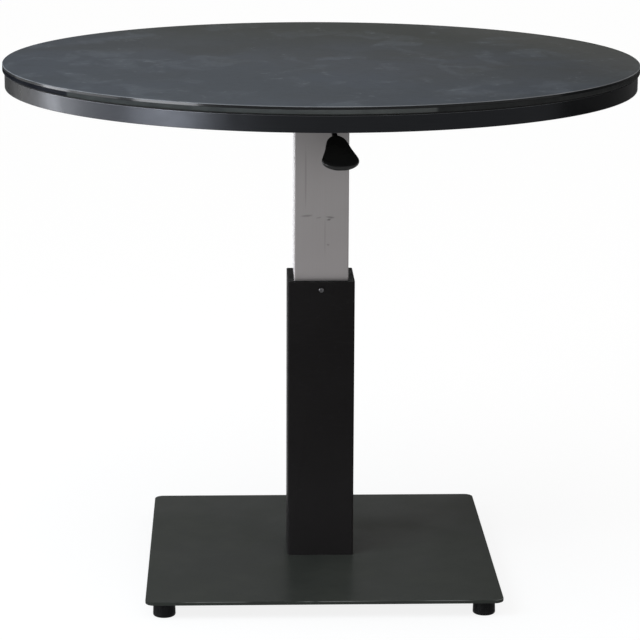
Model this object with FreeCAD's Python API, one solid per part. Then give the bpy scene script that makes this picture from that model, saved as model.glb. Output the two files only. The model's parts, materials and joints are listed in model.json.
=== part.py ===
import FreeCAD
import Part

import math
import os

# Round lift table on a two-stage square column.
# Frame: +Z up, the floor at z = 0, the column's axis on x = y = 0, the lever towards -Y.
# The table is modelled at the top of its travel. Lengths are millimetres, angles degrees.

# ---- heights that stack up from the floor ----
foot_height = 22.0
base_plate_thickness = 5.0
outer_tube_length = 410.0
raised_reveal = 275.0
head_plate_thickness = 4.0
board_thickness = 22.0
silicone_pad_thickness = 2.0
glass_thickness = 6.0
ceramic_thickness = 4.0

# ---- base plate ----
base_plate_width = 500.0
base_plate_corner_radius = 13.0
base_plate_edge_radius = 1.0

# ---- column ----
outer_tube_width = 96.0
outer_tube_wall = 2.5
outer_tube_corner_radius = 3.0
inner_tube_wall = 3.0
inner_tube_corner_radius = 2.0
column_overlap = 120.0
lift_travel = 250.0
foot_plate_thickness = 6.0

# ---- plastic guides of the column ----
collar_wall = 6.2
collar_height = 60.0
collar_recess = 0.5
collar_screw_drop = 12.0
collar_screw_tip_gap = 1.2
glide_height = 36.0
glide_floor = 4.0
glide_lip = 4.0
glide_rivet_sink = 2.2
sliding_clearance = 0.3

# ---- table top ----
top_radius = 450.0
band_set_back = 3.0
band_thickness = 2.0
band_seam = 0.4
band_edge_radius = 0.8
glass_edge_chamfer = 0.8
ceramic_edge_radius = 0.8
silicone_pad_radius = 10.0
outer_pad_inset = 55.0
outer_pad_count = 12
inner_pad_circle = 190.0
inner_pad_count = 6
bead_set_back = 1.0
bead_width = 5.0
bead_vent = 6.0

# ---- head plate and its spigot ----
head_plate_width = 280.0
head_plate_corner_radius = 12.0
head_screw_inset = 20.0
spigot_height = 36.0
spigot_wall = 3.0
spigot_screw_drop = 12.0
spigot_screw_spread = 18.0
insert_wall = 1.5
insert_length = 13.0

# ---- levelling feet ----
foot_inset = 26.0
pad_top_radius = 15.2
pad_bottom_radius = 16.0
pad_edge_radius = 3.0
pad_pocket_play = 0.7
pad_lip_width = 0.8
pad_lip_gap = 0.5
stud_radius = 4.0
stud_flange_thickness = 3.0
stud_top_gap = 0.3
weld_nut_flats = 13.0
weld_nut_height = 10.0
weld_nut_gap = 1.0

# ---- gas spring ----
cylinder_radius = 14.0
cylinder_wall = 2.0
cylinder_dead_length = 115.0
cylinder_floor = 12.0
gland_height = 20.0
rod_radius = 5.0
rod_end_floor = 6.0
piston_height = 12.0
piston_stop_gap = 2.0
rod_nut_flats = 16.0
rod_nut_height = 8.0
rod_end_standout = 6.0
release_pin_radius = 1.5
release_pin_foot_gap = 4.0

# ---- release lever ----
lever_yaw = 8.0
lever_rod_radius = 4.0
lever_pivot_drop = 14.0
lever_pivot_offset = 18.0
lever_nose_reach = 1.5
lever_bend_gap = 7.0
lever_bend_radius = 14.0
lever_slope = 32.0
lever_outer_length = 81.0
lever_boss_radius = 7.0
lever_boss_width = 13.0
lever_pin_radius = 2.5
lever_pin_head_radius = 4.5
lever_pin_head_height = 2.0
lever_clip_thickness = 0.8
lever_pin_end = 1.5
bracket_wall = 3.0
bracket_web_thickness = 5.0
bracket_web_below_pivot = 16.0
bracket_front_edge = 9.0
bracket_back = 13.0
notch_clearance = 3.0
paddle_length = 64.0
paddle_neck_width = 11.0
paddle_shoulder_width = 22.0
paddle_shoulder_at = 8.5
paddle_waist_width = 32.5
paddle_waist_at = 24.0
paddle_full_width = 51.5
paddle_full_at = 46.0
paddle_neck_thickness = 11.5
paddle_mid_thickness = 15.0
paddle_end_thickness = 7.5
paddle_corner_radius = 6.0
paddle_edge_radius = 3.0
paddle_socket_depth = 30.0

# ---- fasteners ----
column_bolt_inset = 15.5
column_bolt_radius = 4.0
column_bolt_flats = 13.0
column_bolt_head_height = 5.3
spring_bolt_radius = 5.0
spring_bolt_flats = 16.0
spring_bolt_head_height = 6.4
spring_bolt_end_gap = 2.0
washer_thickness = 1.6
washer_radius = 8.0
head_plate_screw_radius = 3.0
head_plate_screw_head_radius = 5.5
head_plate_screw_head_height = 3.2
head_plate_screw_end_gap = 1.0
spigot_screw_radius = 2.5
spigot_screw_head_radius = 4.75
spigot_screw_head_height = 2.6
spigot_screw_tip = 0.9
collar_screw_radius = 2.0
collar_screw_head_radius = 3.8
collar_screw_head_height = 2.2
rivet_radius = 2.0
rivet_head_radius = 4.0
rivet_head_height = 1.6
rivet_tail_radius = 3.2
button_edge_share = 0.6
socket_share = 0.45

# ---- clearances ----
thread_fit = 0.05
bolt_hole_play = 0.5
press_fit_gap = 0.1
running_fit = 0.05
lever_rest_gap = 0.3
lever_side_play = 0.3
rivet_sink_play = 0.2
socket_end_gap = 1.0
cut_through = 1.0

# ---- levels and places worked out from the sizes above ----
base_plate_top = foot_height + base_plate_thickness
outer_tube_top = base_plate_top + outer_tube_length
foot_plate_top = base_plate_top + foot_plate_thickness
head_plate_bottom = outer_tube_top + raised_reveal
board_bottom = head_plate_bottom + head_plate_thickness
board_top = board_bottom + board_thickness
glass_bottom = board_top + silicone_pad_thickness
ceramic_bottom = glass_bottom + glass_thickness
outer_tube_bore = outer_tube_width - 2 * outer_tube_wall
outer_bore_corner_radius = outer_tube_corner_radius - outer_tube_wall
inner_tube_width = outer_tube_bore - 2 * collar_wall - 2 * sliding_clearance
inner_tube_bore = inner_tube_width - 2 * inner_tube_wall
inner_bore_corner_radius = inner_tube_corner_radius / 2
inner_tube_bottom = outer_tube_top - column_overlap
band_radius = top_radius - band_set_back
board_radius = band_radius - band_thickness - press_fit_gap
foot_place = base_plate_width / 2 - foot_inset
pad_pocket_radius = weld_nut_flats / 2 / math.cos(math.radians(30)) + pad_pocket_play
stud_flange_radius = pad_pocket_radius + pad_lip_width
pad_floor = foot_height - weld_nut_height - weld_nut_gap - pad_lip_gap - stud_flange_thickness
cylinder_length = lift_travel + cylinder_dead_length
cylinder_top = foot_plate_top + cylinder_length
piston_top = cylinder_top - gland_height - piston_stop_gap
piston_bottom = piston_top - piston_height
lever_height = head_plate_bottom - lever_pivot_drop
lever_bend_reach = inner_tube_width / 2 + lever_bend_gap
bracket_web_drop = lever_pivot_drop + bracket_web_below_pivot
bracket_web_top = head_plate_bottom - bracket_web_drop
bracket_web_bottom = bracket_web_top - bracket_web_thickness
bracket_gap = lever_boss_width + 2 * lever_side_play
bracket_front = lever_pivot_offset + bracket_front_edge
notch_width = 2 * (lever_rod_radius + notch_clearance)
notch_depth = lever_pivot_drop + lever_rod_radius + notch_clearance
rod_top = bracket_web_top + rod_end_standout
release_pin_top = lever_height - lever_rod_radius - lever_rest_gap
spigot_width = inner_tube_bore - 2 * press_fit_gap
head_screw_place = head_plate_width / 2 - head_screw_inset
insert_radius = head_plate_screw_radius + insert_wall
head_plate_screw_grip = insert_length - head_plate_screw_end_gap
outer_pad_circle = top_radius - outer_pad_inset
collar_screw_length = outer_tube_wall + collar_wall - collar_screw_tip_gap
spigot_screw_length = inner_tube_wall + press_fit_gap + spigot_wall + spigot_screw_tip
column_bolt_reach = outer_tube_bore / 2 - column_bolt_inset
spring_bolt_grip = cylinder_floor - spring_bolt_end_gap
glide_rivet_height = inner_tube_bottom + glide_height / 2

UP = FreeCAD.Vector(0, 0, 1)
DOWN = FreeCAD.Vector(0, 0, -1)
CENTRE = FreeCAD.Vector(0, 0, 0)


# ---- shared shapes ----
def rounded_bar(width, corner_radius, bottom, height):
    """Upright square bar with round corners, on the column's axis."""
    corner = FreeCAD.Vector(-width / 2, -width / 2, bottom)
    bar = Part.makeBox(width, width, height, corner)
    upright = [edge for edge in bar.Edges if edge.BoundBox.ZLength > height / 2]
    return bar.makeFillet(corner_radius, upright)


def disc(radius, bottom, height, x=0.0, y=0.0):
    return Part.makeCylinder(radius, height, FreeCAD.Vector(x, y, bottom), UP)


def ring(outer_radius, inner_radius, bottom, height):
    return disc(outer_radius, bottom, height).cut(disc(inner_radius, bottom, height))


def hexagon(flats, bottom, height):
    """Upright hexagonal bar, given by the distance across its flats."""
    corner_radius = flats / 2 / math.cos(math.radians(30))
    points = []
    for step in range(7):
        angle = math.radians(60 * step)
        x = corner_radius * math.cos(angle)
        y = corner_radius * math.sin(angle)
        points.append(FreeCAD.Vector(x, y, bottom))
    return Part.Face(Part.makePolygon(points)).extrude(UP * height)


def point_along(shape, position, direction):
    """Turn a shape drawn along +Z to face a direction, and move it to its place."""
    placed = shape.copy()
    placed.Placement = FreeCAD.Placement(position, FreeCAD.Rotation(UP, direction))
    return placed


def button_screw(head_radius, head_height, shank_radius, length):
    """Screw with a domed head above z = 0, a hexagon socket in it, and a shank below."""
    head = disc(head_radius, 0, head_height)
    rim = [edge for edge in head.Edges if edge.BoundBox.ZMin > head_height / 2]
    head = head.makeFillet(head_height * button_edge_share, rim)
    socket_flats = 2 * head_radius * socket_share
    socket_depth = head_height * button_edge_share
    socket = hexagon(socket_flats, head_height - socket_depth, head_height)
    shank = disc(shank_radius, -length, length)
    return head.fuse(shank).removeSplitter().cut(socket)


def hex_bolt(flats, head_height, shank_radius, length):
    """Bolt with a hexagon head above z = 0 and a shank below."""
    shank = disc(shank_radius, -length, length)
    return hexagon(flats, 0, head_height).fuse(shank).removeSplitter()


def four_corners(reach):
    return [(x * reach, y * reach) for x in (-1, 1) for y in (-1, 1)]


def four_sides(shape):
    """The shape and its three copies turned to the other sides of the column."""
    return [shape.rotated(CENTRE, UP, 90 * side) for side in range(4)]


def turn_to_lever(shape):
    """Turn a shape drawn towards -Y to the direction of the lever."""
    return shape.rotated(CENTRE, UP, lever_yaw)


def save(name, shape):
    shape.exportStep(os.path.join("parts", name + ".step"))


# ---- base ----
def base_plate():
    plate = rounded_bar(base_plate_width, base_plate_corner_radius, foot_height, base_plate_thickness)
    level_edges = [edge for edge in plate.Edges if edge.BoundBox.ZLength < base_plate_thickness / 2]
    plate = plate.makeFillet(base_plate_edge_radius, level_edges)
    for x, y in four_corners(column_bolt_reach):
        hole = disc(column_bolt_radius + bolt_hole_play, foot_height, base_plate_thickness, x, y)
        plate = plate.cut(hole)
    centre_hole = disc(spring_bolt_radius + bolt_hole_play, foot_height, base_plate_thickness)
    return plate.cut(centre_hole)


def outer_tube():
    tube = rounded_bar(outer_tube_width, outer_tube_corner_radius, base_plate_top, outer_tube_length)
    bore = rounded_bar(outer_tube_bore, outer_bore_corner_radius, base_plate_top, outer_tube_length)
    tube = tube.cut(bore)
    return tube.cut(collar_screw_drill())


def column_foot_plate():
    """Thick plate welded into the foot of the outer tube, tapped for the column bolts."""
    plate = rounded_bar(outer_tube_bore, outer_bore_corner_radius, base_plate_top, foot_plate_thickness)
    for x, y in four_corners(column_bolt_reach):
        hole = disc(column_bolt_radius + thread_fit, base_plate_top, foot_plate_thickness, x, y)
        plate = plate.cut(hole)
    centre_hole = disc(spring_bolt_radius + bolt_hole_play, base_plate_top, foot_plate_thickness)
    return plate.cut(centre_hole)


def column_bolts():
    length = washer_thickness + base_plate_thickness + foot_plate_thickness
    bolt = hex_bolt(column_bolt_flats, column_bolt_head_height, column_bolt_radius, length)
    bolts = []
    for x, y in four_corners(column_bolt_reach):
        seat = FreeCAD.Vector(x, y, foot_height - washer_thickness)
        bolts.append(point_along(bolt, seat, DOWN))
    return Part.makeCompound(bolts)


def column_washers():
    """Plain washers under the four column bolts and the spring bolt."""
    bottom = foot_height - washer_thickness
    washer = ring(washer_radius, column_bolt_radius + thread_fit, bottom, washer_thickness)
    washers = []
    for x, y in four_corners(column_bolt_reach):
        washers.append(washer.translated(FreeCAD.Vector(x, y, 0)))
    spring_washer_radius = washer_radius + spring_bolt_radius - column_bolt_radius
    washers.append(ring(spring_washer_radius, spring_bolt_radius + thread_fit, bottom, washer_thickness))
    return Part.makeCompound(washers)


def spring_bolt():
    """Bolt from under the base plate into the bottom of the gas spring."""
    length = washer_thickness + base_plate_thickness + foot_plate_thickness + spring_bolt_grip
    bolt = hex_bolt(spring_bolt_flats, spring_bolt_head_height, spring_bolt_radius, length)
    return point_along(bolt, FreeCAD.Vector(0, 0, foot_height - washer_thickness), DOWN)


# ---- levelling feet ----
def foot_nut():
    nut = hexagon(weld_nut_flats, foot_height - weld_nut_height, weld_nut_height)
    thread = disc(stud_radius + thread_fit, foot_height - weld_nut_height, weld_nut_height)
    return nut.cut(thread)


def foot_pad():
    """Tapered pad with a pocket for the weld nut, and a groove that holds the stud's flange."""
    pad = Part.makeCone(pad_bottom_radius, pad_top_radius, foot_height)
    floor_edge = [edge for edge in pad.Edges if edge.BoundBox.ZMax < foot_height / 2]
    pad = pad.makeFillet(pad_edge_radius, floor_edge)
    pocket = disc(pad_pocket_radius, pad_floor, foot_height - pad_floor)
    groove_height = stud_flange_thickness + pad_lip_gap
    groove = disc(stud_flange_radius + sliding_clearance, pad_floor, groove_height)
    return pad.cut(pocket).cut(groove)


def foot_stud():
    flange = disc(stud_flange_radius - sliding_clearance, pad_floor, stud_flange_thickness)
    stud = disc(stud_radius, pad_floor, foot_height - stud_top_gap - pad_floor)
    return flange.fuse(stud).removeSplitter()


# ---- guides of the column ----
def collar_screw_drill():
    """Cylinders through the front and back walls, where the collar's screws go."""
    height = outer_tube_top - collar_screw_drop
    start = FreeCAD.Vector(0, -outer_tube_width / 2 - cut_through, height)
    radius = collar_screw_radius + running_fit
    front = Part.makeCylinder(radius, collar_screw_length + cut_through, start, FreeCAD.Vector(0, 1, 0))
    return Part.makeCompound([front, front.rotated(CENTRE, UP, 180)])


def collar_screws():
    screw = button_screw(
        collar_screw_head_radius, collar_screw_head_height, collar_screw_radius, collar_screw_length
    )
    seat = FreeCAD.Vector(0, -outer_tube_width / 2, outer_tube_top - collar_screw_drop)
    front = point_along(screw, seat, FreeCAD.Vector(0, -1, 0))
    return Part.makeCompound([front, front.rotated(CENTRE, UP, 180)])


def guide_collar():
    """Plastic bush that lines the mouth of the outer tube and guides the inner tube."""
    top = outer_tube_top - collar_recess
    bottom = top - collar_height
    collar = rounded_bar(outer_tube_bore, outer_bore_corner_radius, bottom, collar_height)
    opening_width = inner_tube_width + 2 * sliding_clearance
    opening_corner = inner_tube_corner_radius + sliding_clearance
    collar = collar.cut(rounded_bar(opening_width, opening_corner, bottom, collar_height))
    return collar.cut(collar_screw_drill())


def glide_rivet():
    """Rivet along +X, its head sunk in the glide and its tail inside the inner tube."""
    glide_face = outer_tube_bore / 2 - sliding_clearance
    head_seat = glide_face - glide_rivet_sink
    tube_face = inner_tube_bore / 2
    sideways = FreeCAD.Vector(1, 0, 0)
    head_start = FreeCAD.Vector(head_seat, 0, glide_rivet_height)
    head = Part.makeCylinder(rivet_head_radius, rivet_head_height, head_start, sideways)
    shank_start = FreeCAD.Vector(tube_face, 0, glide_rivet_height)
    shank = Part.makeCylinder(rivet_radius, head_seat - tube_face, shank_start, sideways)
    tail_start = FreeCAD.Vector(tube_face - rivet_head_height, 0, glide_rivet_height)
    tail = Part.makeCylinder(rivet_tail_radius, rivet_head_height, tail_start, sideways)
    return head.fuse([shank, tail]).removeSplitter()


def rivet_drill(start, end, radius):
    """Cylinder along +X between two distances from the column's axis, at the rivets' height."""
    base = FreeCAD.Vector(start, 0, glide_rivet_height)
    return Part.makeCylinder(radius, end - start, base, FreeCAD.Vector(1, 0, 0))


def lower_glide():
    """Plastic slider round the bottom end of the inner tube, with a floor under the tube's edge."""
    width = outer_tube_bore - 2 * sliding_clearance
    bottom = inner_tube_bottom - glide_floor
    glide = rounded_bar(width, outer_tube_corner_radius, bottom, glide_floor + glide_height)
    socket_width = inner_tube_width + 2 * press_fit_gap
    socket_corner = inner_tube_corner_radius + press_fit_gap
    glide = glide.cut(rounded_bar(socket_width, socket_corner, inner_tube_bottom, glide_height))
    opening_width = inner_tube_width - 2 * inner_tube_wall - 2 * glide_lip
    glide = glide.cut(rounded_bar(opening_width, inner_tube_corner_radius, bottom, glide_floor))
    outside = width / 2
    sink = rivet_drill(outside - glide_rivet_sink, outside, rivet_head_radius + rivet_sink_play)
    hole = rivet_drill(inner_tube_width / 2, outside, rivet_radius + running_fit)
    return glide.cut(four_sides(sink) + four_sides(hole))


# ---- inner tube and head ----
def lever_notch():
    """Block that cuts the lever's notch in the front wall, open at the top of the tube."""
    wall_middle = inner_tube_width / 2 - inner_tube_wall
    centre_x = wall_middle * math.tan(math.radians(lever_yaw))
    front = -inner_tube_width / 2 - cut_through
    depth = inner_tube_wall + spigot_wall + press_fit_gap + 2 * cut_through
    corner = FreeCAD.Vector(centre_x - notch_width / 2, front, head_plate_bottom - notch_depth)
    return Part.makeBox(notch_width, depth, notch_depth, corner)


def spigot_screw_drill():
    """Cylinders through both side walls, where the screws of the spigot go."""
    reach = inner_tube_width / 2 + cut_through
    height = head_plate_bottom - spigot_screw_drop
    radius = spigot_screw_radius + thread_fit
    drills = []
    for y in (-spigot_screw_spread, spigot_screw_spread):
        start = FreeCAD.Vector(-reach, y, height)
        drills.append(Part.makeCylinder(radius, 2 * reach, start, FreeCAD.Vector(1, 0, 0)))
    return Part.makeCompound(drills)


def spigot_screws():
    screw = button_screw(
        spigot_screw_head_radius, spigot_screw_head_height, spigot_screw_radius, spigot_screw_length
    )
    screws = []
    for side in (-1, 1):
        for y in (-spigot_screw_spread, spigot_screw_spread):
            seat = FreeCAD.Vector(side * inner_tube_width / 2, y, head_plate_bottom - spigot_screw_drop)
            screws.append(point_along(screw, seat, FreeCAD.Vector(side, 0, 0)))
    return Part.makeCompound(screws)


def inner_tube():
    length = head_plate_bottom - inner_tube_bottom
    tube = rounded_bar(inner_tube_width, inner_tube_corner_radius, inner_tube_bottom, length)
    tube = tube.cut(rounded_bar(inner_tube_bore, inner_bore_corner_radius, inner_tube_bottom, length))
    rivet_hole = rivet_drill(inner_tube_bore / 2, inner_tube_width / 2, rivet_radius + running_fit)
    return tube.cut([lever_notch(), spigot_screw_drill()] + four_sides(rivet_hole))


def head_spigot():
    """Square spigot welded under the head plate, which the inner tube is pushed over."""
    bottom = head_plate_bottom - spigot_height
    spigot = rounded_bar(spigot_width, inner_bore_corner_radius, bottom, spigot_height)
    inside_width = spigot_width - 2 * spigot_wall
    spigot = spigot.cut(rounded_bar(inside_width, inner_bore_corner_radius, bottom, spigot_height))
    return spigot.cut([lever_notch(), spigot_screw_drill()])


def head_screw_places():
    """The four corners and the four side middles of the head plate."""
    middles = [(head_screw_place, 0), (-head_screw_place, 0), (0, head_screw_place), (0, -head_screw_place)]
    return four_corners(head_screw_place) + middles


def head_plate():
    plate = rounded_bar(
        head_plate_width, head_plate_corner_radius, head_plate_bottom, head_plate_thickness
    )
    radius = head_plate_screw_radius + bolt_hole_play
    holes = [disc(radius, head_plate_bottom, head_plate_thickness, x, y) for x, y in head_screw_places()]
    return plate.cut(holes)


def head_plate_screws():
    length = head_plate_thickness + head_plate_screw_grip
    screw = button_screw(
        head_plate_screw_head_radius, head_plate_screw_head_height, head_plate_screw_radius, length
    )
    screws = []
    for x, y in head_screw_places():
        screws.append(point_along(screw, FreeCAD.Vector(x, y, head_plate_bottom), DOWN))
    return Part.makeCompound(screws)


def board_inserts():
    insert = ring(insert_radius, head_plate_screw_radius + thread_fit, board_bottom, insert_length)
    return Part.makeCompound([insert.translated(FreeCAD.Vector(x, y, 0)) for x, y in head_screw_places()])


# ---- table top ----
def board():
    radius = insert_radius + press_fit_gap
    depth = insert_length + press_fit_gap
    holes = [disc(radius, board_bottom, depth, x, y) for x, y in head_screw_places()]
    return disc(board_radius, board_bottom, board_thickness).cut(holes)


def edge_band():
    """Metal band round the board, butted together at the back."""
    band = ring(band_radius, band_radius - band_thickness, board_bottom, board_thickness)
    outer_edges = [edge for edge in band.Edges if edge.BoundBox.XMax > band_radius - band_thickness / 2]
    level_edges = [edge for edge in outer_edges if edge.BoundBox.ZLength < band_thickness]
    band = band.makeFillet(band_edge_radius, level_edges)
    seam_corner = FreeCAD.Vector(-band_seam / 2, band_radius - band_thickness - cut_through, board_bottom)
    seam = Part.makeBox(band_seam, band_thickness + 2 * cut_through, board_thickness, seam_corner)
    return band.cut(seam)


def silicone_pads():
    pads = []
    for circle, count in ((outer_pad_circle, outer_pad_count), (inner_pad_circle, inner_pad_count)):
        for step in range(count):
            angle = 2 * math.pi * step / count
            x = circle * math.cos(angle)
            y = circle * math.sin(angle)
            pads.append(disc(silicone_pad_radius, board_top, silicone_pad_thickness, x, y))
    return Part.makeCompound(pads)


def silicone_bead():
    """Bead that closes the gap under the glass, a little behind the band, with a vent at the back."""
    outer_radius = band_radius - bead_set_back
    inner_radius = outer_radius - bead_width
    bead = ring(outer_radius, inner_radius, board_top, silicone_pad_thickness)
    vent_corner = FreeCAD.Vector(-bead_vent / 2, inner_radius - cut_through, board_top)
    vent = Part.makeBox(bead_vent, bead_width + 2 * cut_through, silicone_pad_thickness, vent_corner)
    return bead.cut(vent)


def glass():
    sheet = disc(top_radius, glass_bottom, glass_thickness)
    rims = [edge for edge in sheet.Edges if edge.BoundBox.ZLength < glass_edge_chamfer]
    return sheet.makeChamfer(glass_edge_chamfer, rims)


def ceramic_top():
    sheet = disc(top_radius, ceramic_bottom, ceramic_thickness)
    upper_rim = [edge for edge in sheet.Edges if edge.BoundBox.ZMin > ceramic_bottom + ceramic_thickness / 2]
    return sheet.makeFillet(ceramic_edge_radius, upper_rim)


# ---- gas spring ----
def gas_spring_cylinder():
    body = disc(cylinder_radius, foot_plate_top, cylinder_length)
    bore_bottom = foot_plate_top + cylinder_floor
    bore = disc(cylinder_radius - cylinder_wall, bore_bottom, cylinder_length - cylinder_floor)
    thread = disc(spring_bolt_radius + thread_fit, foot_plate_top, spring_bolt_grip + thread_fit)
    return body.cut(bore).cut(thread)


def gas_spring_gland():
    outer_radius = cylinder_radius - cylinder_wall - running_fit
    return ring(outer_radius, rod_radius + running_fit, cylinder_top - gland_height, gland_height)


def gas_spring_piston():
    outer_radius = cylinder_radius - cylinder_wall - running_fit
    return ring(outer_radius, rod_radius + running_fit, piston_bottom, piston_height)


def gas_spring_rod():
    """Hollow piston rod, closed at its lower end, with a snap shoulder under the piston."""
    rod = disc(rod_radius, piston_bottom, rod_top - piston_bottom)
    bore_bottom = piston_bottom + rod_end_floor
    return rod.cut(disc(release_pin_radius + running_fit, bore_bottom, rod_top - bore_bottom))


def rod_nut():
    bottom = bracket_web_bottom - rod_nut_height
    nut = hexagon(rod_nut_flats, bottom, rod_nut_height)
    return nut.cut(disc(rod_radius + thread_fit, bottom, rod_nut_height))


def release_pin():
    bottom = piston_bottom + rod_end_floor + release_pin_foot_gap
    return disc(release_pin_radius, bottom, release_pin_top - bottom)


# ---- release lever ----
def along_pivot(radius, start, length):
    """Cylinder on the lever's pivot, along +X from a distance off the middle of the boss."""
    base = FreeCAD.Vector(start, -lever_pivot_offset, lever_height)
    return Part.makeCylinder(radius, length, base, FreeCAD.Vector(1, 0, 0))


def lever_bracket():
    """U bracket under the head plate: two cheeks for the lever's pin, and a web for the rod."""
    outer_width = bracket_gap + 2 * bracket_wall
    length = bracket_front + bracket_back
    height = bracket_web_drop + bracket_web_thickness
    corner = FreeCAD.Vector(-outer_width / 2, -bracket_front, bracket_web_bottom)
    block = Part.makeBox(outer_width, length, height, corner)
    gap_corner = FreeCAD.Vector(-bracket_gap / 2, -bracket_front, bracket_web_top)
    gap = Part.makeBox(bracket_gap, length, bracket_web_drop, gap_corner)
    pin_hole = along_pivot(lever_pin_radius + running_fit, -outer_width / 2, outer_width)
    rod_hole = disc(rod_radius + thread_fit, bracket_web_bottom, bracket_web_thickness)
    return turn_to_lever(block.cut([gap, pin_hole, rod_hole]))


def lever_pin():
    cheek_face = bracket_gap / 2 + bracket_wall
    head = along_pivot(lever_pin_head_radius, -cheek_face - lever_pin_head_height, lever_pin_head_height)
    shank_length = 2 * cheek_face + lever_clip_thickness + lever_pin_end
    shank = along_pivot(lever_pin_radius, -cheek_face, shank_length)
    return turn_to_lever(head.fuse(shank).removeSplitter())


def lever_clip():
    """Open retaining ring on the pin, against the cheek."""
    cheek_face = bracket_gap / 2 + bracket_wall
    clip = along_pivot(lever_pin_head_radius, cheek_face, lever_clip_thickness)
    hole = along_pivot(lever_pin_radius + running_fit, cheek_face, lever_clip_thickness)
    mouth_corner = FreeCAD.Vector(cheek_face, -lever_pivot_offset - lever_pin_radius, lever_height)
    mouth = Part.makeBox(lever_clip_thickness, 2 * lever_pin_radius, lever_pin_head_radius, mouth_corner)
    return turn_to_lever(clip.cut([hole, mouth]))


def lever_direction():
    """Direction of the sloping outer part of the lever, before the lever is turned."""
    slope = math.radians(lever_slope)
    return FreeCAD.Vector(0, -math.cos(slope), -math.sin(slope))


def lever_arm():
    """Bent round rod from the nose over the release pin to the paddle, with a boss for the pin."""
    nose = FreeCAD.Vector(0, lever_nose_reach, lever_height)
    corner = FreeCAD.Vector(0, -lever_bend_reach, lever_height)
    tangent_length = lever_bend_radius * math.tan(math.radians(lever_slope / 2))
    bend_start = corner + FreeCAD.Vector(0, tangent_length, 0)
    bend_end = corner + lever_direction() * tangent_length
    half_slope = math.radians(lever_slope / 2)
    bend_centre = bend_start - UP * lever_bend_radius
    middle_offset = FreeCAD.Vector(0, -math.sin(half_slope), math.cos(half_slope)) * lever_bend_radius
    outer_length = lever_outer_length + paddle_socket_depth - socket_end_gap
    end = corner + lever_direction() * outer_length
    path = Part.Wire([
        Part.LineSegment(nose, bend_start).toShape(),
        Part.Arc(bend_start, bend_centre + middle_offset, bend_end).toShape(),
        Part.LineSegment(bend_end, end).toShape(),
    ])
    section = Part.Wire([Part.Circle(nose, FreeCAD.Vector(0, 1, 0), lever_rod_radius).toShape()])
    rod = path.makePipeShell([section], True, True)
    rounded_nose = Part.makeSphere(lever_rod_radius, nose)
    boss = along_pivot(lever_boss_radius, -lever_boss_width / 2, lever_boss_width)
    pin_hole = along_pivot(lever_pin_radius + running_fit, -lever_boss_width / 2, lever_boss_width)
    return turn_to_lever(rod.fuse([rounded_nose, boss]).removeSplitter().cut(pin_hole))


def paddle_outline():
    """Flat face of the paddle's plan: neck, shoulders, flaring sides and a round end, along -Y."""
    def point(width, distance):
        return FreeCAD.Vector(width / 2, -distance, 0)
    edges = [
        Part.LineSegment(point(-paddle_neck_width, 0), point(paddle_neck_width, 0)).toShape(),
        Part.Arc(
            point(paddle_full_width, paddle_full_at),
            point(0, paddle_length),
            point(-paddle_full_width, paddle_full_at),
        ).toShape(),
    ]
    for side in (-1, 1):
        neck = point(side * paddle_neck_width, 0)
        shoulder = point(side * paddle_shoulder_width, paddle_shoulder_at)
        waist = point(side * paddle_waist_width, paddle_waist_at)
        full = point(side * paddle_full_width, paddle_full_at)
        edges.append(Part.LineSegment(neck, shoulder).toShape())
        edges.append(Part.Arc(shoulder, waist, full).toShape())
    return Part.Face(Part.Wire(Part.__sortEdges__(edges)))


def paddle_profile():
    """Face of the paddle seen from its side, thickest at the waist, in the Y-Z plane."""
    def point(distance, thickness):
        return FreeCAD.Vector(0, -distance, thickness / 2)
    upper = Part.Arc(
        point(0, paddle_neck_thickness),
        point(paddle_waist_at, paddle_mid_thickness),
        point(paddle_length, paddle_end_thickness),
    ).toShape()
    lower = Part.Arc(
        point(0, -paddle_neck_thickness),
        point(paddle_waist_at, -paddle_mid_thickness),
        point(paddle_length, -paddle_end_thickness),
    ).toShape()
    neck = Part.LineSegment(point(0, paddle_neck_thickness), point(0, -paddle_neck_thickness)).toShape()
    end = Part.LineSegment(
        point(paddle_length, paddle_end_thickness), point(paddle_length, -paddle_end_thickness)
    ).toShape()
    return Part.Face(Part.Wire(Part.__sortEdges__([upper, lower, neck, end])))


def lever_paddle():
    """Moulded paddle pushed on the outer end of the lever."""
    plan = paddle_outline()
    plan.translate(DOWN * paddle_mid_thickness)
    slab = plan.extrude(UP * 2 * paddle_mid_thickness)
    corners = []
    for edge in slab.Edges:
        box = edge.BoundBox
        at_full_width = abs(abs(box.XMin) - paddle_full_width / 2) < paddle_edge_radius / 2
        if box.ZLength > paddle_mid_thickness and at_full_width:
            corners.append(edge)
    slab = slab.makeFillet(paddle_corner_radius, corners)
    profile = paddle_profile()
    profile.translate(FreeCAD.Vector(-paddle_full_width, 0, 0))
    body = slab.common(profile.extrude(FreeCAD.Vector(2 * paddle_full_width, 0, 0)))
    long_edges = []
    for edge in body.Edges:
        box = edge.BoundBox
        upright = box.XLength < paddle_edge_radius / 10 and box.YLength < paddle_edge_radius / 10
        at_neck = box.YMin > -paddle_edge_radius / 10
        if not upright and not at_neck:
            long_edges.append(edge)
    body = body.makeFillet(paddle_edge_radius, long_edges)
    socket_radius = lever_rod_radius + running_fit
    socket = Part.makeCylinder(socket_radius, paddle_socket_depth, CENTRE, FreeCAD.Vector(0, -1, 0))
    body = body.cut(socket)
    body.rotate(CENTRE, FreeCAD.Vector(1, 0, 0), lever_slope)
    corner = FreeCAD.Vector(0, -lever_bend_reach, lever_height)
    body.translate(corner + lever_direction() * lever_outer_length)
    return turn_to_lever(body)


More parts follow.
